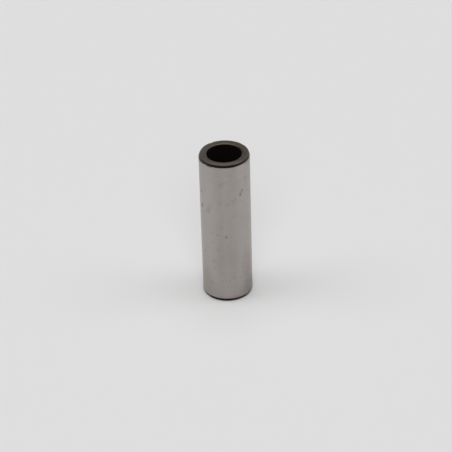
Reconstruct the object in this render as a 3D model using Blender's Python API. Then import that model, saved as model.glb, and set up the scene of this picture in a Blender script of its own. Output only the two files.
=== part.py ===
"""A gudgeon pin: the hollow hardened steel pin that joins a piston to its connecting rod.

The real pin is one turned, ground and case-hardened piece, so it is one solid here: the outline of its
wall, from the bore to the barrel, spun round the pin's axis. The pin stands on its lower end face, with
the centre of that face at the origin and its axis along +Z. Both ends are alike. Sizes are in metres
and angles in radians.
"""

import math

import bmesh
import bpy
from mathutils import Vector

OUTER_DIAMETER = 0.022
WALL_THICKNESS = 0.00335
LENGTH = 0.070

# Each end tapers in at the outside, so that the pin enters its bosses without scoring them.
LEAD_IN_LENGTH = 0.0012
LEAD_IN_DROP = 0.0004
LEAD_IN_HEEL_RADIUS = 0.001
END_EDGE_RADIUS = 0.0003

# A small chamfer breaks the edge of the bore at each end.
MOUTH_DEPTH = 0.0003
MOUTH_WIDTH = 0.0005
MOUTH_EDGE_RADIUS = 0.0002

# A rounding turns this much at most from one point to the next, and takes this share of a side at most.
ROUNDING_STEP = math.radians(11)
ROUNDING_SHARE = 0.45

SIDES = 96

# The barrel is ground bright. The ends and the bore keep the brown-black skin of the heat treatment.
GROUND_COLOUR = (0.41, 0.385, 0.37, 1.0)
GROUND_ROUGHNESS = 0.32
SKIN_COLOUR = (0.105, 0.088, 0.078, 1.0)
SKIN_ROUGHNESS = 0.45

# Two faces that meet at a sharper angle than this keep a crisp edge between them.
CRISP_ANGLE = math.radians(20)


def clear_scene():
    """Removes every object, so that only the pin is left."""
    for thing in list(bpy.data.objects):
        bpy.data.objects.remove(thing, do_unlink=True)


def wall_corners():
    """The corners of the wall's outline, in order: (distance from the axis, height, rounding radius)."""
    barrel = OUTER_DIAMETER / 2
    bore = barrel - WALL_THICKNESS
    upper_end = [
        (barrel, LENGTH - LEAD_IN_LENGTH, LEAD_IN_HEEL_RADIUS),
        (barrel - LEAD_IN_DROP, LENGTH, END_EDGE_RADIUS),
        (bore + MOUTH_WIDTH, LENGTH, MOUTH_EDGE_RADIUS),
        (bore, LENGTH - MOUTH_DEPTH, MOUTH_EDGE_RADIUS),
    ]
    lower_end = [(across, LENGTH - height, radius) for across, height, radius in reversed(upper_end)]
    return upper_end + lower_end


def turned(vector, angle):
    """A flat vector, turned anticlockwise by an angle."""
    cosine = math.cos(angle)
    sine = math.sin(angle)
    return Vector((vector.x * cosine - vector.y * sine, vector.x * sine + vector.y * cosine))


def rounded_corner(before, corner, after, radius):
    """The points that stand for a corner: an arc that runs smoothly into the sides on both hands."""
    arriving = corner - before
    leaving = after - corner
    turn = math.atan2(arriving.cross(leaving), arriving.dot(leaving))
    half_tan = math.tan(abs(turn) / 2)
    room = ROUNDING_SHARE * min(arriving.length, leaving.length)
    radius = min(radius, room / half_tan)
    start = corner - radius * half_tan * arriving.normalized()
    spoke = turned(arriving.normalized(), -math.copysign(math.pi / 2, turn)) * radius
    centre = start - spoke
    steps = math.ceil(abs(turn) / ROUNDING_STEP)
    return [centre + turned(spoke, turn * step / steps) for step in range(steps + 1)]


def wall_outline():
    """The closed outline of the pin's wall, as flat points (distance from the axis, height)."""
    corners = wall_corners()
    places = [Vector((across, height)) for across, height, _ in corners]
    outline = []
    for index, (_, _, radius) in enumerate(corners):
        after = places[(index + 1) % len(places)]
        outline += rounded_corner(places[index - 1], places[index], after, radius)
    return outline


def is_ground(face):
    """True for a face of the barrel: it is upright and stands on the outer diameter."""
    nearest = OUTER_DIAMETER / 2 * math.cos(math.pi / SIDES)
    upright = abs(face.normal.z) < 0.001
    return upright and face.calc_center_median().xy.length > 0.999 * nearest


def spun_wall():
    """The pin's mesh: the wall's outline spun once round the pin's axis."""
    shape = bmesh.new()
    points = [shape.verts.new((point.x, 0.0, point.y)) for point in wall_outline()]
    edges = [shape.edges.new((points[index - 1], points[index])) for index in range(len(points))]
    bmesh.ops.spin(
        shape,
        geom=points + edges,
        cent=(0.0, 0.0, 0.0),
        axis=(0.0, 0.0, 1.0),
        angle=2 * math.pi,
        steps=SIDES,
        use_merge=True,
    )
    bmesh.ops.recalc_face_normals(shape, faces=shape.faces)
    for face in shape.faces:
        face.material_index = 0 if is_ground(face) else 1
    mesh = bpy.data.meshes.new("gudgeon_pin")
    shape.to_mesh(mesh)
    shape.free()
    mesh.shade_smooth()
    mesh.set_sharp_from_angle(angle=CRISP_ANGLE)
    return mesh


def steel(name, colour, roughness):
    """A bare metal finish."""
    finish = bpy.data.materials.new(name)
    finish.use_nodes = True
    finish.diffuse_color = colour
    shader = finish.node_tree.nodes["Principled BSDF"]
    shader.inputs["Base Color"].default_value = colour
    shader.inputs["Metallic"].default_value = 1.0
    shader.inputs["Roughness"].default_value = roughness
    return finish


def build():
    clear_scene()
    mesh = spun_wall()
    mesh.materials.append(steel("ground_steel", GROUND_COLOUR, GROUND_ROUGHNESS))
    mesh.materials.append(steel("hardened_skin", SKIN_COLOUR, SKIN_ROUGHNESS))
    pin = bpy.data.objects.new("gudgeon_pin", mesh)
    bpy.context.scene.collection.objects.link(pin)


build()
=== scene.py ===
"""A gudgeon pin, dressed: a finely turned and ground steel pin on a pale studio floor.

The pin stands on its lower end face at the origin, with its axis along +Z. Lengths are in metres where
nothing else is said. Angles round the pin are counted from the camera's side, which faces -Y, towards +X.
"""

import math
from typing import NamedTuple

import bpy
import numpy as np
from bpy.props import FloatProperty, FloatVectorProperty, IntProperty, PointerProperty
from mathutils import Matrix, Vector, noise


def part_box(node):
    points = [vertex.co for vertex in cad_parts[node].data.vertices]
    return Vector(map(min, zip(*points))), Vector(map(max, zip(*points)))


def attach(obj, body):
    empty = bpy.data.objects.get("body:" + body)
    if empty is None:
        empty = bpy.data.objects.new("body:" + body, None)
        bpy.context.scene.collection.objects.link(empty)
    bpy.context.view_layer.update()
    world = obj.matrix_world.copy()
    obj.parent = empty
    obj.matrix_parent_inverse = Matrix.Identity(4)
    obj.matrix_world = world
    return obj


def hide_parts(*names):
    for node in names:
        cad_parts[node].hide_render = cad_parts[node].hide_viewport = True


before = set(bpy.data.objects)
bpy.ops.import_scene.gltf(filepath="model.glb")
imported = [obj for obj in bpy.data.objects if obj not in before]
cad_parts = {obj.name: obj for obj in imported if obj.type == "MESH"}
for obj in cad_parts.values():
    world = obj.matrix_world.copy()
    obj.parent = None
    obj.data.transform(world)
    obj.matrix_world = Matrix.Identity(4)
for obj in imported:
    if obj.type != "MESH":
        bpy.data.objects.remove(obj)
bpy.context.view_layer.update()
PIN_LOW, PIN_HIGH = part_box("gudgeon_pin")

bl_info = {
    "name": "Gudgeon pin",
    "version": (1, 0, 0),
    "blender": (4, 5, 0),
    "location": "View3D > Sidebar > Gudgeon pin",
    "description": "Makes a ground and hardened gudgeon pin, and a pale studio to show it in",
    "category": "Add Mesh",
}

MILLIMETRE = 0.001

# A rounding turns this much at most from one point to the next, and takes this share of a side at most.
ROUNDING_STEP = math.radians(5)
ROUNDING_SHARE = 0.45

# The longest step between two rings of points in the bore, which carries no marks.
BORE_STEP = 0.003

# The pin's finishes, in the order of their slots.
BARREL, END_FACE, EDGE, BORE = range(4)

# How far the black skin runs past the taper along the barrel. At the upper end it stops short of that.
# At the lower end the black is partly painted contact shade.
UPPER_SKIN = -0.00006
LOWER_SKIN = 0.0002

# The barrel is coloured black up to LOWER_SKIN within this many degrees of the front, and up to
# LOWER_SKIN_SIDES elsewhere. This black is partly the skin and partly painted contact shade.
LOWER_SKIN_FRONT = 45
LOWER_SKIN_SIDES = 0.00012

# How level the rounded outer edge still is where its black skin starts, as the Z part of its normal, at
# some angles in degrees round the pin.
SKIN_STARTS = (
    (-180, 0.7),
    (-60, 0.7),
    (-25, 0.9),
    (22, 0.9),
    (33, 0.45),
    (50, 0.35),
    (60, 0.6),
    (180, 0.7),
)

# How level the mouth of the bore still is where the bore's scale starts, in the same way.
SCALE_START = 0.5

# The attribute that holds the colour of the barrel's stains and painted shade, with their amount as its
# alpha.
STAIN_AND_SHADE = "stain_and_shade"

# A mark is full up to its core and fades up to its rim, both as shares of its half width. Its outline
# wobbles by a share of that too, with so many waves to a millimetre.
MARK_CORE = 0.45
MARK_RIM = 1.25
MARK_WOBBLE = 0.35
MARK_WAVES = 1.1

# A point nearer to the axis than this share of the barrel's radius isn't on the barrel.
BARREL_SHARE = 0.99

# Where a Mix node keeps its sockets for colours.
MIX_COLOUR_A = 6
MIX_COLOUR_B = 7
MIX_COLOUR_RESULT = 2

# The floor reaches this far to both sides and behind the pin. It ends in front of the pin, out of the
# camera's sight, so that the steel mirrors the dim room there.
FLOOR_REACH = 4.0
FLOOR_FRONT = -0.35

# A mirrored ray starts to meet the dim room where the -Y part of its direction reaches the first of
# these, and meets nothing else from the second on.
ROOM_START = 0.2
ROOM_FULL = 0.9


def measured_bore():
    """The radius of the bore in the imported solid."""
    return min(vertex.co.xy.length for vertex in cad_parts["gudgeon_pin"].data.vertices)


class PinSizes(bpy.types.PropertyGroup):
    """The sizes of the turned pin."""

    outer_diameter: FloatProperty(
        name="Outer diameter",
        description="Diameter of the ground barrel",
        default=PIN_HIGH.x - PIN_LOW.x,
        unit="LENGTH",
    )
    bore_diameter: FloatProperty(
        name="Bore",
        description="Diameter of the hole that runs through the pin",
        default=2 * measured_bore(),
        unit="LENGTH",
    )
    length: FloatProperty(
        name="Length",
        description="Distance between the two end faces",
        default=PIN_HIGH.z - PIN_LOW.z,
        unit="LENGTH",
    )
    lead_in_length: FloatProperty(
        name="Lead-in length",
        description="How far the taper at each end runs along the barrel",
        default=0.0012,
        unit="LENGTH",
    )
    lead_in_drop: FloatProperty(
        name="Lead-in drop",
        description="How far the taper at each end goes in from the barrel",
        default=0.0004,
        unit="LENGTH",
    )
    heel_radius: FloatProperty(
        name="Lead-in heel",
        description="Rounding between the barrel and the taper",
        default=0.001,
        unit="LENGTH",
    )
    end_edge_radius: FloatProperty(
        name="End edge",
        description="Rounding between the taper and the end face",
        default=0.0003,
        unit="LENGTH",
    )
    mouth_depth: FloatProperty(
        name="Mouth depth",
        description="How deep the chamfer at each mouth of the bore goes",
        default=0.0003,
        unit="LENGTH",
    )
    mouth_width: FloatProperty(
        name="Mouth width",
        description="How wide the chamfer at each mouth of the bore is, seen from the end",
        default=0.0005,
        unit="LENGTH",
    )
    mouth_edge_radius: FloatProperty(
        name="Mouth edge",
        description="Rounding on both edges of the mouth chamfer",
        default=0.0002,
        unit="LENGTH",
    )
    sides: IntProperty(
        name="Sides",
        description="Faces round the pin",
        default=288,
        min=24,
    )
    row_height: FloatProperty(
        name="Row height",
        description="Step between two rings of points on the barrel",
        default=0.00034,
        unit="LENGTH",
    )


class SteelColours(bpy.types.PropertyGroup):
    """The colours of the pin's surfaces."""

    ground: FloatVectorProperty(
        name="Ground barrel",
        description="Bright steel, as the grinding wheel leaves it",
        default=(0.446, 0.410, 0.387),
        subtype="COLOR",
    )
    ground_cool: FloatVectorProperty(
        name="Ground barrel, cool",
        description="The same steel where it looks a little colder",
        default=(0.432, 0.406, 0.385),
        subtype="COLOR",
    )
    skin: FloatVectorProperty(
        name="Hardened skin",
        description="Brown-grey skin that hardening leaves on the end faces",
        default=(0.060, 0.033, 0.022),
        subtype="COLOR",
    )
    # Also used for the painted highlight on the front of the end faces.
    wear_and_highlight: FloatVectorProperty(
        name="Worn edge",
        description="Steel that shows through the skin along its edges",
        default=(0.075, 0.058, 0.048),
        subtype="COLOR",
    )
    # At the foot of the barrel this colour is partly painted contact shade.
    edge: FloatVectorProperty(
        name="Edge",
        description="Black-brown skin on the tapered edges, which the wheel never meets",
        default=(0.008, 0.004, 0.0025),
        subtype="COLOR",
    )
    bore: FloatVectorProperty(
        name="Bore",
        description="Black scale inside the bore",
        default=(0.006, 0.0045, 0.004),
        subtype="COLOR",
    )
    rust: FloatVectorProperty(
        name="Rust",
        description="Light rust on the barrel",
        default=(0.368, 0.288, 0.158),
        subtype="COLOR",
    )
    varnish: FloatVectorProperty(
        name="Varnish",
        description="Olive-brown spots where oil has dried on",
        default=(0.177, 0.154, 0.080),
        subtype="COLOR",
    )
    pit: FloatVectorProperty(
        name="Pit",
        description="Dark grey bottoms of the small pits",
        default=(0.10, 0.092, 0.086),
        subtype="COLOR",
    )
    straw: FloatVectorProperty(
        name="Straw",
        description="Straw colour that heat has left on part of the end face",
        default=(0.040, 0.025, 0.0),
        subtype="COLOR",
    )
    burn: FloatVectorProperty(
        name="Burn",
        description="Dark brown spots where oil has baked on",
        default=(0.12, 0.078, 0.05),
        subtype="COLOR",
    )
    # Also painted shade: the broad marks of this kind down the front of the barrel and near its foot.
    smudge_and_shade: FloatVectorProperty(
        name="Smudge",
        description="Dull grey finger marks and spots",
        default=(0.27, 0.245, 0.228),
        subtype="COLOR",
    )
    flush: FloatVectorProperty(
        name="Flush",
        description="Faint red-brown bloom on the steel",
        default=(0.45, 0.368, 0.35),
        subtype="COLOR",
    )


class StudioSettings(bpy.types.PropertyGroup):
    """The floor, the lamps and the camera."""

    floor_colour: FloatVectorProperty(
        name="Floor",
        description="Colour of the floor and of what lies behind it",
        default=(0.73, 0.73, 0.73),
        subtype="COLOR",
    )
    ambient: FloatProperty(
        name="Ambient light",
        description="Strength of the even light from all round",
        default=0.135,
        min=0.0,
    )
    room: FloatProperty(
        name="Room",
        description="How bright the steel sees the room behind the camera, from 0 for black to 1",
        default=0.05,
        min=0.0,
        max=1.0,
    )
    lens: FloatProperty(
        name="Lens",
        description="Focal length in millimetres on a 36 mm sensor",
        default=145.82,
        min=1.0,
    )
    elevation: FloatProperty(
        name="Elevation",
        description="How steeply the camera looks down",
        default=math.radians(33.119),
        subtype="ANGLE",
    )
    roll: FloatProperty(
        name="Roll",
        description="How far the camera is turned about its own line of sight",
        default=math.radians(-1.690),
        subtype="ANGLE",
    )
    distance: FloatProperty(
        name="Distance",
        description="From the camera to the point that it is aimed at",
        default=0.8023,
        unit="LENGTH",
    )
    aim: FloatVectorProperty(
        name="Aim",
        description="The point on the pin that the camera is aimed at",
        default=(-0.000088, 0.0, 0.03267),
        subtype="XYZ",
    )


class Mark(NamedTuple):
    """A spot on the barrel, in the colour of its kind, with sizes in millimetres and angles in degrees.

    The slant leans its long side from upright the way that angles are counted. The amount is how much of
    its colour covers the steel, and the depth is how far its middle is sunk.
    """

    kind: str
    angle: float
    height: float
    width: float
    length: float
    slant: float
    amount: float
    depth: float = 0.0


MARKS = (
    # Painted shade: the first two marks darken the barrel down its front, and the four after them darken
    # it near its foot.
    Mark("smudge_and_shade", 0.0, 20.0, 13.0, 20.0, 0, 0.20),
    Mark("smudge_and_shade", -1.0, 34.0, 6.4, 56.0, 0, 0.12),
    Mark("smudge_and_shade", 64.0, 3.5, 12.0, 14.0, 0, 0.46),
    Mark("smudge_and_shade", 53.0, 17.5, 8.0, 18.0, 0, 0.28),
    Mark("smudge_and_shade", -58.0, 8.0, 11.0, 18.0, 0, 0.18),
    Mark("smudge_and_shade", 15.0, 1.0, 12.0, 4.4, 0, 0.2),
    Mark("smudge_and_shade", 60.0, 2.4, 2.4, 3.2, 0, 0.55),
    Mark("smudge_and_shade", 71.0, 68.2, 9.4, 2.4, 0, 0.36),
    Mark("smudge_and_shade", -84.0, 68.1, 5.4, 2.8, 0, 0.45),
    Mark("edge", -65.0, 68.75, 6.4, 0.58, 0, 0.85),
    Mark("edge", -38.0, 68.75, 3.4, 0.58, 0, 0.72),
    Mark("rust", -42.5, 46.7, 2.8, 4.4, 12, 0.34),
    Mark("rust", -36.0, 49.4, 2.8, 3.4, 30, 0.22),
    Mark("rust", -48.5, 45.3, 2.0, 2.4, 0, 0.14),
    Mark("burn", -41.5, 46.4, 1.0, 2.8, 6, 0.08),
    Mark("flush", 44.0, 55.0, 2.6, 3.6, 20, 0.35),
    Mark("varnish", 35.6, 54.5, 1.4, 2.1, 4, 0.56, 0.05),
    Mark("flush", 40.8, 56.1, 1.5, 2.2, 45, 0.8),
    Mark("burn", 40.8, 56.1, 1.1, 1.8, 45, 0.40, 0.03),
    Mark("pit", -65.5, 46.9, 1.2, 2.0, 0, 0.88, 0.10),
    Mark("pit", -67.0, 54.0, 1.1, 1.4, 0, 0.68, 0.04),
    Mark("pit", -0.7, 34.0, 1.3, 1.3, 0, 0.44, 0.08),
    Mark("smudge_and_shade", -10.8, 60.2, 2.6, 2.4, 30, 0.22),
    Mark("smudge_and_shade", -4.0, 61.6, 1.2, 2.8, 60, 0.14),
    Mark("smudge_and_shade", 52.2, 61.5, 1.4, 2.4, 0, 0.36),
    Mark("smudge_and_shade", 54.5, 58.8, 1.1, 1.1, 0, 0.2),
    Mark("smudge_and_shade", 2.0, 50.4, 1.5, 1.5, 0, 0.24, 0.02),
    Mark("smudge_and_shade", -12.0, 51.1, 1.5, 1.7, 0, 0.22),
    Mark("smudge_and_shade", 20.8, 44.1, 1.4, 1.3, 0, 0.25, 0.02),
    Mark("smudge_and_shade", 20.5, 52.0, 2.2, 4.6, 15, 0.14),
    Mark("smudge_and_shade", -10.7, 38.8, 1.6, 1.9, 0, 0.22),
    Mark("smudge_and_shade", -31.8, 35.4, 1.0, 2.2, 65, 0.24),
    Mark("smudge_and_shade", -19.4, 34.8, 0.9, 2.8, 80, 0.34),
    Mark("smudge_and_shade", -34.0, 30.3, 1.6, 1.2, 0, 0.26),
    Mark("smudge_and_shade", -58.4, 23.9, 1.2, 2.0, 0, 0.45),
    Mark("smudge_and_shade", -33.8, 20.5, 1.6, 1.6, 0, 0.36, 0.03),
    Mark("smudge_and_shade", -39.3, 8.8, 1.9, 1.6, 0, 0.40, 0.02),
    Mark("smudge_and_shade", 14.2, 12.3, 1.6, 1.8, 0, 0.20, 0.02),
    Mark("smudge_and_shade", 4.7, 10.8, 1.3, 1.4, 0, 0.30),
    Mark("smudge_and_shade", -29.6, 17.1, 1.0, 2.4, 70, 0.14),
    Mark("smudge_and_shade", 55.8, 15.1, 1.6, 1.8, 0, 0.35),
    Mark("flush", -15.5, 29.4, 3.0, 2.2, 0, 0.42),
    Mark("flush", -19.3, 27.0, 2.2, 2.0, 0, 0.6),
    Mark("smudge_and_shade", -19.3, 27.0, 1.8, 1.6, 0, 0.12),
    Mark("flush", 9.4, 65.3, 3.2, 0.9, 0, 0.38),
    Mark("flush", 39.0, 42.7, 2.6, 2.8, 0, 0.35),
    Mark("flush", 47.7, 12.5, 1.6, 3.2, 0, 0.38),
    Mark("flush", 34.1, 3.5, 2.4, 1.2, 0, 0.7),
    Mark("rust", 128.0, 21.0, 2.6, 3.4, -15, 0.5),
    Mark("rust", 121.0, 24.5, 1.2, 1.8, -30, 0.35),
    Mark("burn", 152.0, 49.5, 0.9, 1.6, -20, 0.8, 0.07),
    Mark("burn", 97.0, 39.0, 0.8, 0.9, 0, 0.7, 0.08),
    Mark("burn", -118.0, 30.5, 0.7, 1.9, 25, 0.7, 0.06),
    Mark("burn", -171.0, 12.0, 0.9, 0.9, 0, 0.6, 0.06),
    Mark("smudge_and_shade", 108.0, 58.0, 2.2, 2.6, 20, 0.45),
    Mark("smudge_and_shade", 139.0, 36.0, 1.4, 1.6, 0, 0.5, 0.02),
    Mark("smudge_and_shade", 168.0, 60.5, 1.2, 3.0, 50, 0.45),
    Mark("smudge_and_shade", -158.0, 44.0, 1.8, 2.2, 0, 0.45),
    Mark("smudge_and_shade", -136.0, 17.0, 1.2, 1.4, 0, 0.55, 0.02),
    Mark("smudge_and_shade", -101.0, 57.0, 1.3, 1.5, 0, 0.5, 0.02),
    Mark("smudge_and_shade", -95.0, 12.5, 1.5, 1.3, 0, 0.5),
    Mark("flush", -128.0, 52.0, 3.0, 3.4, 0, 0.5),
    Mark("flush", 170.0, 27.0, 3.4, 2.4, 0, 0.45),
)


class Nick(NamedTuple):
    """A dent in the outer edge of an end face, at an angle in degrees.

    It reaches this many millimetres each way from its middle, and is this many deep there.
    """

    angle: float
    on_top: bool
    reach: float
    depth: float


NICKS = (
    Nick(-72, True, 0.9, 0.14),
    Nick(-28, True, 0.6, 0.07),
    Nick(23, True, 0.7, 0.08),
    Nick(64, True, 1.0, 0.12),
    Nick(131, True, 0.8, 0.12),
    Nick(-149, True, 1.1, 0.15),
    Nick(-108, True, 4.0, 0.12),
    Nick(-50, False, 0.9, 0.12),
    Nick(12, False, 0.6, 0.08),
    Nick(77, False, 0.8, 0.12),
    Nick(160, False, 1.0, 0.14),
    Nick(-121, False, 0.8, 0.10),
)


class Lamp(NamedTuple):
    """A broad lamp so far off that its light is the same all over the floor.

    Its angles are in degrees: where it hangs, counted from +Y towards +X and up from the floor, and how
    wide it looks from the pin.
    """

    name: str
    azimuth: float
    elevation: float
    spread: float
    strength: float


LAMPS = (
    Lamp("overhead_lamp", 0, 88, 50, 1.51),
    Lamp("left_lamp", -90, 50, 30, 0.47),
    Lamp("right_lamp", 90, 50, 30, 0.35),
    Lamp("front_lamp", 180, 40, 30, 0.87),
    Lamp("rear_lamp", 0, 40, 30, 0.035),
)


class Wire:
    """A number or colour that varies over a surface. Arithmetic on a number adds Math nodes."""

    def __init__(self, finish, socket):
        self.finish = finish
        self.socket = socket

    def __add__(self, other):
        return self.finish.math("ADD", self, other)

    __radd__ = __add__

    def __sub__(self, other):
        return self.finish.math("SUBTRACT", self, other)

    def __rsub__(self, other):
        return self.finish.math("SUBTRACT", other, self)

    def __mul__(self, other):
        return self.finish.math("MULTIPLY", self, other)

    __rmul__ = __mul__


class Finish:
    """A node tree in the making, for a material or the world."""

    def __init__(self, tree):
        self.tree = tree
        self.tree.nodes.clear()

    def node(self, kind, settings=None, inputs=None, output=0):
        """Adds a node with its settings, then fills its sockets, and gives one of its outputs."""
        node = self.tree.nodes.new(kind)
        for name, value in (settings or {}).items():
            setattr(node, name, value)
        for name, value in (inputs or {}).items():
            socket = node.inputs[name]
            if isinstance(value, Wire):
                self.tree.links.new(value.socket, socket)
            elif socket.type == "RGBA":
                socket.default_value = (*value, 1.0)
            else:
                socket.default_value = value
        return Wire(self, node.outputs[output]) if node.outputs else None

    def math(self, operation, *terms):
        return self.node("ShaderNodeMath", {"operation": operation}, dict(enumerate(terms)))

    def mixed(self, share, first, second):
        """A colour that goes from the first to the second as the share goes from 0 to 1."""
        return self.node(
            "ShaderNodeMix",
            {"data_type": "RGBA"},
            {"Factor": share, MIX_COLOUR_A: first, MIX_COLOUR_B: second},
            MIX_COLOUR_RESULT,
        )

    def scaled(self, vector, factor):
        """A colour or vector times a number."""
        return self.node("ShaderNodeVectorMath", {"operation": "SCALE"}, {0: vector, "Scale": factor})

    def part(self, vector, axis):
        """One of the X, Y and Z parts of a vector."""
        return self.node("ShaderNodeSeparateXYZ", inputs={0: vector}, output=axis)

    def ramp(self, value, start, end):
        """0 where the value is at the start, 1 where it is at the end, and smooth between them."""
        return self.node(
            "ShaderNodeMapRange",
            {"interpolation_type": "SMOOTHSTEP"},
            {"Value": value, "From Min": start, "From Max": end},
        )


class PinSurface(Finish):
    """A finish for the pin, which knows where on the pin each point is, in millimetres."""

    def __init__(self, name):
        self.material = bpy.data.materials.new(name)
        self.material.use_nodes = True
        super().__init__(self.material.node_tree)
        metres = self.node("ShaderNodeTexCoord", output="Object")
        self.place = self.scaled(metres, 1 / MILLIMETRE)
        self.x, self.y, self.height = (self.part(self.place, axis) for axis in "XYZ")

    def side(self, angle, start, end):
        """The side of the pin at an angle in degrees.

        It is 0 where the distance from the axis that way is at the start, and 1 where it is at the end.
        """
        turn = math.radians(angle)
        return self.ramp(math.sin(turn) * self.x - math.cos(turn) * self.y, start, end)

    def noise(self, stretch, detail=3.0, roughness=0.6, seed=0.0):
        """Noise about 0, at most 0.5 either way, with so many features per millimetre of X, Y and Z."""
        where = self.node(
            "ShaderNodeVectorMath",
            {"operation": "MULTIPLY_ADD"},
            {0: self.place, 1: stretch, 2: (seed, seed, seed)},
        )
        inputs = {"Vector": where, "Scale": 1.0, "Detail": detail, "Roughness": roughness}
        return self.node("ShaderNodeTexNoise", inputs=inputs) - 0.5

    def noise_along(self, value, stretch):
        """Noise like the other, which follows one number, with so many features per millimetre of it."""
        inputs = {"W": value * stretch, "Scale": 1.0, "Detail": 2.0}
        return self.node("ShaderNodeTexNoise", {"noise_dimensions": "1D"}, inputs) - 0.5

    def finish(self, colour, roughness, bump, others):
        """Joins a shader to the output. The bump is in millimetres, and the others are further inputs."""
        normal = self.node(
            "ShaderNodeBump", inputs={"Strength": 1.0, "Distance": MILLIMETRE, "Height": bump}
        )
        inputs = {"Base Color": colour, "Roughness": roughness, "Normal": normal, **others}
        shader = self.node("ShaderNodeBsdfPrincipled", inputs=inputs)
        self.node("ShaderNodeOutputMaterial", inputs={"Surface": shader})
        return self.material


def ground_steel(colours):
    """The barrel: bright steel with the fine rings of the grinding wheel, with painted shade towards its
    foot.
    """
    surface = PinSurface("ground_steel")
    rings = surface.noise((0.02, 0.02, 9.0), detail=2.0)
    bands = surface.noise((0.03, 0.03, 1.1), detail=2.0, roughness=0.5, seed=3.0)
    clouds = surface.noise((0.10, 0.10, 0.08), roughness=0.55, seed=7.0)
    grain = surface.noise((1.3, 1.3, 1.1), roughness=0.65, seed=11.0)
    spots = surface.noise((1.6, 1.6, 1.3), detail=1.0, roughness=0.5, seed=19.0)
    specks = surface.ramp(spots, 0.12, 0.28)
    # Painted shade: the barrel is darkened towards its foot, standing for the mirrored contact shadow.
    painted_foot_shade = surface.ramp(surface.height, 18.0, 1.0)
    bare = surface.mixed(surface.ramp(clouds, -0.15, 0.15), colours.ground_cool, colours.ground)
    stained_and_shaded = surface.node("ShaderNodeAttribute", {"attribute_name": STAIN_AND_SHADE}, output="Color")
    stain_and_shade = surface.node("ShaderNodeAttribute", {"attribute_name": STAIN_AND_SHADE}, output="Alpha")
    share = stain_and_shade * (1 + 0.9 * grain)
    tone = 1 + 0.10 * rings + 0.08 * bands + 0.14 * clouds + 0.22 * grain
    tone = tone - 0.07 * specks - 0.108 * painted_foot_shade
    colour = surface.scaled(surface.mixed(share, bare, stained_and_shaded), tone)
    roughness = 0.35 + 0.10 * clouds + 0.10 * rings + 0.16 * share
    bump = 0.0008 * rings + 0.0006 * grain
    brushed = {
        "Metallic": 1.0,
        "Specular Tint": (0.88, 0.88, 0.88),
        "Anisotropic": 0.75,
        "Anisotropic Rotation": 0.25,
    }
    return surface.finish(colour, roughness, bump, brushed)


def hardened_skin(colours, sizes):
    """The end faces: a thin brown-grey skin over fine turned rings, rubbed and tinted in places, with a
    painted highlight on the front and painted shade at the back-right rim and on the right of the mouth.
    """
    surface = PinSurface("hardened_skin")
    rim = (sizes.outer_diameter / 2 - sizes.lead_in_drop) / MILLIMETRE
    mouth = (sizes.bore_diameter / 2 + sizes.mouth_width) / MILLIMETRE
    across = surface.math("SQRT", surface.x * surface.x + surface.y * surface.y)
    rings = surface.noise_along(across, 5.0)
    patches = surface.noise((0.35, 0.35, 0.35), seed=5.0)
    specks = surface.noise((1.3, 1.3, 1.3))
    tints = surface.noise((0.5, 0.5, 0.5), seed=13.0)
    ragged = across + 0.5 * specks

    # Painted highlight: the front of each face is made lighter. Painted shade: the rim at the back right
    # and the mouth on the right are made darker.
    painted_front_highlight = surface.side(0, 6.0, 9.5)
    shaded_and_dull_side = surface.side(140, 8.0, 9.3)
    painted_mouth_shade = surface.ramp(across, mouth + 0.6, mouth) * surface.side(85, 7.2, 8.0)
    lighter_rim = surface.ramp(across, mouth, rim - 0.5)
    tone = 0.38 + 0.25 * painted_front_highlight - 0.25 * shaded_and_dull_side - 0.4 * painted_mouth_shade + 0.22 * lighter_rim
    tone = tone + 1.5 * specks + 1.1 * patches + 0.25 * rings
    skin = surface.scaled(colours.skin, tone)

    rubbed_side = surface.side(-130, 7.0, 9.0)
    rubbed_specks = surface.ramp(specks, 0.05, 0.25)
    rubbed_rim = surface.ramp(ragged, rim - 1.0, rim - 0.4)
    rubbed_mouth = surface.ramp(ragged, mouth + 0.1, mouth - 0.1) * surface.side(90, 8.5, 4.0)
    # Besides real wear, the painted highlight on the front turns the skin towards the worn colour.
    wear_and_highlight = 0.65 * painted_front_highlight + 0.35 * rubbed_side + 0.5 * rubbed_specks
    wear_and_highlight = wear_and_highlight + 0.3 * rubbed_rim + 0.5 * rubbed_mouth

    straw_side = surface.side(165, 3.0, 9.5)
    straw = 0.7 * straw_side + 0.9 * (tints - 0.04) - 0.2 * painted_front_highlight
    colour = surface.mixed(straw, surface.mixed(wear_and_highlight, skin, colours.wear_and_highlight), colours.straw)
    roughness = 0.36 + 0.12 * specks + 0.10 * rings
    bump = 0.002 * specks + 0.0015 * rings
    return surface.finish(colour, roughness, bump, {"Metallic": 0.5})


def edge_skin(colours):
    """The tapered edges: the same skin, left thick and dark. The lower one is shiny but for one side."""
    surface = PinSurface("edge_skin")
    rings = surface.noise((0.05, 0.05, 6.0), detail=2.0)
    specks = surface.noise((2.2, 2.2, 2.2))
    colour = surface.scaled(colours.edge, 1 + 0.7 * specks + 0.5 * rings)
    roughness = 0.36 + 0.16 * specks
    bump = 0.002 * specks + 0.001 * rings
    lower_edge = surface.ramp(surface.height, 1.4, 0.7)
    shaded_and_dull_side = surface.side(48, 8.0, 10.0)
    shine = {
        "Metallic": lower_edge * (0.9 - 0.8 * shaded_and_dull_side),
        "Specular IOR Level": 0.33,
        "Specular Tint": (1.0, 0.8, 0.65),
    }
    return surface.finish(colour, roughness, bump, shine)


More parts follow.
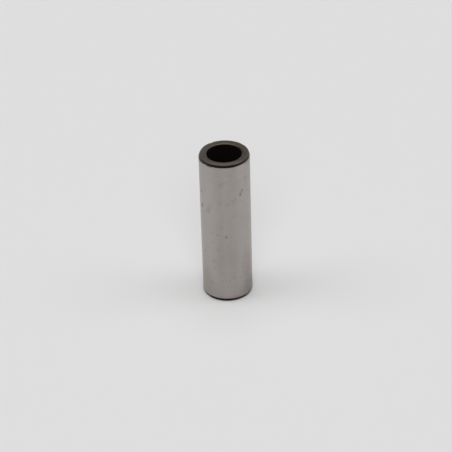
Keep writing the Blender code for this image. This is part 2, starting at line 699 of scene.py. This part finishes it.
def bore_scale(colours):
    """The bore: black scale with marks drawn along it."""
    surface = PinSurface("bore_scale")
    streaks = surface.noise((1.5, 1.5, 0.08))
    specks = surface.noise((1.8, 1.8, 1.8), seed=9.0)
    colour = surface.scaled(colours.bore, 1 + 0.8 * streaks + 0.6 * specks)
    roughness = 0.6 + 0.2 * streaks
    bump = 0.003 * streaks + 0.003 * specks
    return surface.finish(colour, roughness, bump, {"Specular IOR Level": 0.1})


def wall_corners(sizes):
    """The corners of the wall's outline, in order: (distance from the axis, height, rounding radius)."""
    barrel = sizes.outer_diameter / 2
    bore = sizes.bore_diameter / 2
    upper_end = [
        (barrel, sizes.length - sizes.lead_in_length, sizes.heel_radius),
        (barrel - sizes.lead_in_drop, sizes.length, sizes.end_edge_radius),
        (bore + sizes.mouth_width, sizes.length, sizes.mouth_edge_radius),
        (bore, sizes.length - sizes.mouth_depth, sizes.mouth_edge_radius),
    ]
    lower_end = [
        (across, sizes.length - height, radius) for across, height, radius in reversed(upper_end)
    ]
    return upper_end + lower_end


def turned(vector, angle):
    """A flat vector, turned anticlockwise by an angle."""
    return Matrix.Rotation(angle, 2) @ vector


def rounded_corner(before, corner, after, radius):
    """The points that stand for a corner: an arc that runs smoothly into the sides on both hands."""
    arriving = corner - before
    leaving = after - corner
    turn = math.atan2(arriving.cross(leaving), arriving.dot(leaving))
    half_tan = math.tan(abs(turn) / 2)
    room = ROUNDING_SHARE * min(arriving.length, leaving.length)
    radius = min(radius, room / half_tan)
    start = corner - radius * half_tan * arriving.normalized()
    spoke = turned(arriving.normalized(), -math.copysign(math.pi / 2, turn)) * radius
    centre = start - spoke
    steps = math.ceil(abs(turn) / ROUNDING_STEP)
    return [centre + turned(spoke, turn * step / steps) for step in range(steps + 1)]


def rounded_outline(sizes):
    """The closed outline of the wall, with its corners rounded."""
    corners = wall_corners(sizes)
    places = [Vector((across, height)) for across, height, _ in corners]
    outline = []
    for index, (_, _, radius) in enumerate(corners):
        after = places[(index + 1) % len(places)]
        outline += rounded_corner(places[index - 1], places[index], after, radius)
    return outline


def wall_outline(sizes):
    """The closed outline of the wall, with its straight runs split into short steps."""
    outline = rounded_outline(sizes)
    stepped = []
    for index, point in enumerate(outline):
        before = outline[index - 1]
        in_bore = max(before.x, point.x) < sizes.bore_diameter / 2 + sizes.mouth_width / 2
        step = BORE_STEP if in_bore else sizes.row_height
        steps = math.ceil((point - before).length / step)
        stepped += [before.lerp(point, share / steps) for share in range(1, steps + 1)]
    return stepped


def spun(outline, sides, name):
    """A mesh made by turning an outline once round the Z axis."""
    turns = [2 * math.pi * side / sides for side in range(sides)]
    places = [(at.x * math.cos(turn), at.x * math.sin(turn), at.y) for turn in turns for at in outline]
    faces = []
    for side in range(sides):
        here = side * len(outline)
        there = (side + 1) % sides * len(outline)
        for index in range(len(outline)):
            after = (index + 1) % len(outline)
            faces.append((here + index, there + index, there + after, here + after))
    mesh = bpy.data.meshes.new(name)
    mesh.from_pydata(places, [], faces)
    mesh.shade_smooth()
    return mesh


def angles_of(places):
    """The angle of each place round the pin, in degrees."""
    return np.degrees(np.arctan2(places[..., 0], -places[..., 1]))


def in_skin(height, sizes):
    """True at the heights that the black covers: the skin, and at the lower end partly painted contact
    shade.
    """
    from_top = sizes.length - height
    return from_top < sizes.lead_in_length + UPPER_SKIN or height < sizes.lead_in_length + LOWER_SKIN


def surface_of(face, sizes):
    """The slot of the finish that a face has."""
    level = abs(face.normal.z)
    middle_of_wall = (sizes.outer_diameter + sizes.bore_diameter) / 4
    if face.center.xy.length < middle_of_wall:
        return END_FACE if level > SCALE_START else BORE
    if level > np.interp(angles_of(np.array(face.center)), *zip(*SKIN_STARTS)):
        return END_FACE
    return EDGE if in_skin(face.center.z, sizes) else BARREL


def eased(value, start, end):
    """0 at the start, 1 at the end, and smooth between them."""
    share = min(max((value - start) / (end - start), 0.0), 1.0)
    return share * share * (3 - 2 * share)


def points_of(mesh):
    """The places of a mesh's points, one in each row."""
    places = np.empty(3 * len(mesh.vertices), dtype=np.float32)
    mesh.vertices.foreach_get("co", places)
    return places.reshape(-1, 3)


def distances_from(mark, places, barrel):
    """How far each point of the barrel lies from a mark's middle, as a share of its half width there."""
    around = (angles_of(places) - mark.angle + 180) % 360 - 180
    across = np.radians(around) * barrel / MILLIMETRE
    up = places[:, 2] / MILLIMETRE - mark.height
    slant = math.radians(mark.slant)
    short_way = across * math.cos(slant) - up * math.sin(slant)
    long_way = across * math.sin(slant) + up * math.cos(slant)
    distance = np.hypot(short_way / (mark.width / 2), long_way / (mark.length / 2))
    distance[np.hypot(places[:, 0], places[:, 1]) < BARREL_SHARE * barrel] = math.inf
    return distance


def lay_over(stain_and_shade, colour, amount):
    """Adds a colour to a mix of stains and painted shade, which is a colour with its amount as its alpha.
    """
    both = amount + stain_and_shade[3] * (1 - amount)
    if both > 0:
        stain_and_shade[:3] += (colour - stain_and_shade[:3]) * amount / both
        stain_and_shade[3] = both


def mark_barrel(mesh, sizes, colours):
    """Colours the barrel black at its lower edge, partly as painted contact shade, stains it at each
    mark, some of them painted shade, and sinks the pits a little into it.
    """
    places = points_of(mesh)
    barrel = sizes.outer_diameter / 2
    stains_and_shade = np.zeros((len(places), 4))
    stains_and_shade[:, :3] = colours.ground
    # Partly painted contact shade: the black at the foot reaches higher on the front of the barrel.
    in_front = np.abs(angles_of(places)) < LOWER_SKIN_FRONT
    reach = np.where(in_front, LOWER_SKIN, LOWER_SKIN_SIDES)
    stains_and_shade[places[:, 2] < sizes.lead_in_length + reach] = (*colours.edge, 1.0)
    sunk = places.copy()
    for mark in MARKS:
        colour = np.array(getattr(colours, mark.kind))
        distance = distances_from(mark, places, barrel)
        for index in np.flatnonzero(distance < MARK_RIM * (1 + MARK_WOBBLE)):
            wobble = noise.noise(Vector(places[index]) / MILLIMETRE * MARK_WAVES)
            away = distance[index] * (1 + MARK_WOBBLE * wobble)
            lay_over(stains_and_shade[index], colour, mark.amount * eased(away, MARK_RIM, MARK_CORE))
            sink = mark.depth * MILLIMETRE * eased(away, 1.0, 0.0)
            sunk[index, :2] -= places[index, :2] / barrel * sink
    mesh.vertices.foreach_set("co", sunk.ravel())
    attribute = mesh.color_attributes.new(STAIN_AND_SHADE, "FLOAT_COLOR", "POINT")
    attribute.data.foreach_set("color", stains_and_shade.ravel())


def nick_edges(mesh, sizes):
    """Dents the outer edges of the end faces."""
    places = points_of(mesh)
    edge = sizes.outer_diameter / 2 - sizes.lead_in_drop
    for nick in NICKS:
        angle = math.radians(nick.angle)
        outward = np.array([math.sin(angle), -math.cos(angle), 1.0 if nick.on_top else -1.0])
        middle = np.array([outward[0] * edge, outward[1] * edge, sizes.length if nick.on_top else 0.0])
        away = np.linalg.norm(places - middle, axis=1) / (nick.reach * MILLIMETRE)
        dent = outward / math.sqrt(2) * nick.depth * MILLIMETRE
        for index in np.flatnonzero(away < 1):
            places[index] -= dent * eased(away[index], 1.0, 0.0)
    mesh.vertices.foreach_set("co", places.ravel())


class PIN_OT_turned_pin(bpy.types.Operator):
    """Makes the turned, ground and hardened pin"""

    bl_idname = "gudgeon.turned_pin"
    bl_label = "Turned pin"

    def execute(self, context):
        sizes = context.scene.pin_sizes
        colours = context.scene.steel_colours
        mesh = spun(wall_outline(sizes), sizes.sides, "turned_pin")
        for material in (
            ground_steel(colours),
            hardened_skin(colours, sizes),
            edge_skin(colours),
            bore_scale(colours),
        ):
            mesh.materials.append(material)
        for face in mesh.polygons:
            face.material_index = surface_of(face, sizes)
        mark_barrel(mesh, sizes, colours)
        nick_edges(mesh, sizes)
        pin = bpy.data.objects.new("turned_pin", mesh)
        context.scene.collection.objects.link(pin)
        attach(pin, "root")
        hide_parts("gudgeon_pin")
        return {"FINISHED"}


def make_floor(colour):
    """A flat floor that the pin stands on."""
    mesh = bpy.data.meshes.new("studio_floor")
    front = [(-FLOOR_REACH, FLOOR_FRONT, 0.0), (FLOOR_REACH, FLOOR_FRONT, 0.0)]
    back = [(FLOOR_REACH, FLOOR_REACH, 0.0), (-FLOOR_REACH, FLOOR_REACH, 0.0)]
    mesh.from_pydata(front + back, [], [(0, 1, 2, 3)])
    material = bpy.data.materials.new("pale_floor")
    material.use_nodes = True
    finish = Finish(material.node_tree)
    shader = finish.node("ShaderNodeBsdfDiffuse", inputs={"Color": colour})
    finish.node("ShaderNodeOutputMaterial", inputs={"Surface": shader})
    mesh.materials.append(material)
    floor = bpy.data.objects.new("studio_floor", mesh)
    bpy.context.scene.collection.objects.link(floor)


def light_world(studio):
    """An even light, which the camera and the steel see as the floor's colour.

    The steel also mirrors the room behind the camera, which is dimmer.
    """
    world = bpy.data.worlds.new("studio_world")
    bpy.context.scene.world = world
    world.use_nodes = True
    sky = Finish(world.node_tree)
    rays = ("Is Glossy Ray", "Is Camera Ray", "Is Transmission Ray")
    mirrored, by_camera, through_glass = (sky.node("ShaderNodeLightPath", output=ray) for ray in rays)
    seen = mirrored + by_camera + through_glass
    direction = sky.node("ShaderNodeTexCoord", output="Generated")
    dimness = sky.ramp(-1 * sky.part(direction, "Y"), ROOM_START, ROOM_FULL) * (1 - studio.room)
    light = sky.node("ShaderNodeBackground", inputs={"Color": (1, 1, 1), "Strength": studio.ambient})
    backdrop = sky.node(
        "ShaderNodeBackground",
        inputs={"Color": studio.floor_colour, "Strength": 1 - mirrored * dimness},
    )
    shader = sky.node("ShaderNodeMixShader", inputs={0: seen, 1: light, 2: backdrop})
    sky.node("ShaderNodeOutputWorld", inputs={"Surface": shader})


def hang_lamp(lamp):
    """A lamp that shines on the pin from its place."""
    data = bpy.data.lights.new(lamp.name, "SUN")
    data.energy = lamp.strength
    data.angle = math.radians(lamp.spread)
    azimuth = math.radians(lamp.azimuth)
    elevation = math.radians(lamp.elevation)
    along_floor = math.cos(elevation)
    place = (math.sin(azimuth) * along_floor, math.cos(azimuth) * along_floor, math.sin(elevation))
    holder = bpy.data.objects.new(lamp.name, data)
    holder.rotation_mode = "QUATERNION"
    holder.rotation_quaternion = Vector(place).to_track_quat("Z", "Y")
    bpy.context.scene.collection.objects.link(holder)


def place_camera(studio):
    """A camera that looks down along +Y at the pin."""
    data = bpy.data.cameras.new("studio_camera")
    data.lens = studio.lens
    camera = bpy.data.objects.new("studio_camera", data)
    back = Vector((0.0, -math.cos(studio.elevation), math.sin(studio.elevation)))
    camera.rotation_mode = "QUATERNION"
    camera.rotation_quaternion = back.to_track_quat("Z", "Y")
    camera.rotation_quaternion @= Matrix.Rotation(studio.roll, 3, "Z").to_quaternion()
    camera.location = Vector(studio.aim) + back * studio.distance
    bpy.context.scene.collection.objects.link(camera)
    bpy.context.scene.camera = camera


class PIN_OT_studio(bpy.types.Operator):
    """Lays a pale floor, lights it softly and sets up the camera"""

    bl_idname = "gudgeon.studio"
    bl_label = "Studio"

    def execute(self, context):
        studio = context.scene.studio_settings
        make_floor(studio.floor_colour)
        light_world(studio)
        for lamp in LAMPS:
            hang_lamp(lamp)
        place_camera(studio)
        context.scene.view_settings.view_transform = "Standard"
        return {"FINISHED"}


class PIN_PT_panel(bpy.types.Panel):
    """Lists what makes the pin and its studio"""

    bl_idname = "PIN_PT_panel"
    bl_label = "Gudgeon pin"
    bl_space_type = "VIEW_3D"
    bl_region_type = "UI"
    bl_category = "Gudgeon pin"

    def draw(self, context):
        for group, operator in (
            ("pin_sizes", PIN_OT_turned_pin),
            ("steel_colours", None),
            ("studio_settings", PIN_OT_studio),
        ):
            box = self.layout.box()
            settings = getattr(context.scene, group)
            for name in settings.__annotations__:
                box.prop(settings, name)
            if operator:
                box.operator(operator.bl_idname)


GROUPS = {"pin_sizes": PinSizes, "steel_colours": SteelColours, "studio_settings": StudioSettings}
CLASSES = (*GROUPS.values(), PIN_OT_turned_pin, PIN_OT_studio, PIN_PT_panel)


def register():
    for each in CLASSES:
        bpy.utils.register_class(each)
    for name, group in GROUPS.items():
        setattr(bpy.types.Scene, name, PointerProperty(type=group))


def unregister():
    for name in GROUPS:
        delattr(bpy.types.Scene, name)
    for each in reversed(CLASSES):
        bpy.utils.unregister_class(each)


def main():
    register()
    bpy.ops.gudgeon.turned_pin()
    bpy.ops.gudgeon.studio()


if __name__ == "__main__":
    main()
